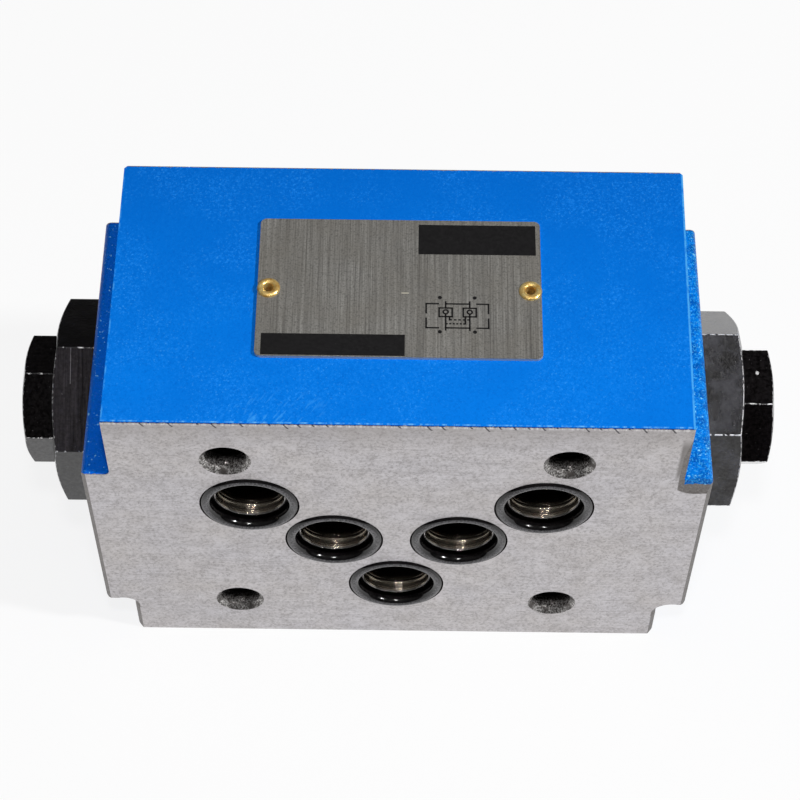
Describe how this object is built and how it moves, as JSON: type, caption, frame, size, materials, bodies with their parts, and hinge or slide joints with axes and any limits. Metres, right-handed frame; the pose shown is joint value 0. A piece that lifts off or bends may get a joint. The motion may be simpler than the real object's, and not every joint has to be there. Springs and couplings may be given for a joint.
{
  "type": "hydraulic sandwich valve",
  "caption": "Blue plate-shaped hydraulic check valve body with sealed ports on one face, a hexagonal plug in each end, and a spool, poppets and springs inside.",
  "frame": {"origin": "under the middle of the valve, on the face that it rests on", "axes": "+X along the spool, to the right when the seal face is viewed with the nameplate up; -Y out of the O-ring face; +Z out of the nameplate face"},
  "size_m": [0.1264, 0.0504, 0.069],
  "materials": {
    "blue_paint": "satin",
    "brushed_plate": "satin",
    "rivet_brass": "satin",
    "seal_rubber": "gloss",
    "black_steel": "satin",
    "bright_steel": "satin"
  },
  "bodies": {
    "valve": {"valve_body": "blue_paint", "nameplate": "brushed_plate", "left_rivet": "rivet_brass", "right_rivet": "rivet_brass", "port_seal_p": "seal_rubber", "port_seal_a": "seal_rubber", "port_seal_b": "seal_rubber", "port_seal_t_left": "seal_rubber", "port_seal_t_right": "seal_rubber", "left_end_plug": "black_steel", "right_end_plug": "black_steel", "left_end_plug_seal": "seal_rubber", "right_end_plug_seal": "seal_rubber", "left_cap_screw": "black_steel", "right_cap_screw": "black_steel", "left_cap_seal": "seal_rubber", "right_cap_seal": "seal_rubber", "left_seat_bush": "bright_steel", "right_seat_bush": "bright_steel", "left_seat_seal": "seal_rubber", "right_seat_seal": "seal_rubber", "left_spring": "bright_steel", "right_spring": "bright_steel"},
    "spool": {"control_spool": "bright_steel"},
    "left_poppet_body": {"left_poppet": "bright_steel"},
    "left_ball_body": {"left_ball": "bright_steel", "left_ball_guide": "bright_steel"},
    "right_poppet_body": {"right_poppet": "bright_steel"},
    "right_ball_body": {"right_ball": "bright_steel", "right_ball_guide": "bright_steel"}
  },
  "joints": [
    {"name": "spool_slide", "type": "slide", "parent": "valve", "child": "spool", "axis": [1, 0, 0], "range_m": [-0.0014, 0.0014]},
    {"name": "left_poppet_lift", "type": "slide", "parent": "valve", "child": "left_poppet_body", "axis": [-1, 0, 0], "range_m": [0, 0.0029], "stiffness_N_per_m": 4000, "springref_m": -0.0035, "deforming": ["left_spring"]},
    {"name": "left_ball_lift", "type": "slide", "parent": "left_poppet_body", "child": "left_ball_body", "axis": [-1, 0, 0], "range_m": [0, 0.0008], "stiffness_N_per_m": 4000, "springref_m": -0.0035, "deforming": ["left_spring"]},
    {"name": "right_poppet_lift", "type": "slide", "parent": "valve", "child": "right_poppet_body", "axis": [1, 0, 0], "range_m": [0, 0.0029], "stiffness_N_per_m": 4000, "springref_m": -0.0035, "deforming": ["right_spring"]},
    {"name": "right_ball_lift", "type": "slide", "parent": "right_poppet_body", "child": "right_ball_body", "axis": [1, 0, 0], "range_m": [0, 0.0008], "stiffness_N_per_m": 4000, "springref_m": -0.0035, "deforming": ["right_spring"]}
  ]
}
